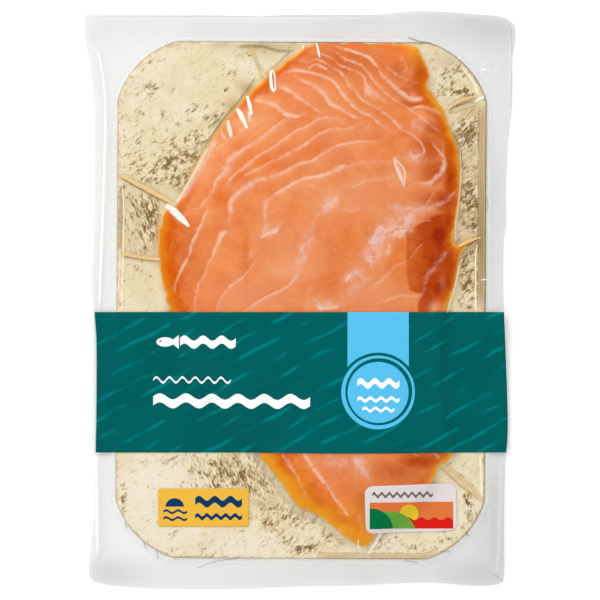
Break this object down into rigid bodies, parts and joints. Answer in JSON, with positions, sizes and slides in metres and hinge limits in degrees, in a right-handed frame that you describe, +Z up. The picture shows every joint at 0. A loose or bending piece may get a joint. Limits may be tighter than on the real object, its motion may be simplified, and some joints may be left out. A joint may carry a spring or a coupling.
{
  "type": "vacuum pack of sliced smoked salmon",
  "caption": "Clear vacuum pouch welded round a gold card board with sliced smoked salmon, crossed by a printed band, lying flat.",
  "frame": {"origin": "under the middle of the pouch's outline, on the surface that it lies on", "axes": "+Z up out of the printed front, +Y along the pack towards its top edge, +X to the right as the front is seen"},
  "size_m": [0.1576, 0.2117, 0.0107],
  "materials": {
    "film": "clear, glossy, with soft wrinkles",
    "salmon": "moist sliced salmon with pale fat lines",
    "gold_board": "pale gold foil on card, crinkled",
    "band_print": "satin print",
    "yellow_print": "satin print",
    "white_print": "satin print"
  },
  "bodies": {
    "root": {"pouch": "film", "band": "band_print", "label_left": "yellow_print", "label_right": "white_print"}
  },
  "joints": []
}
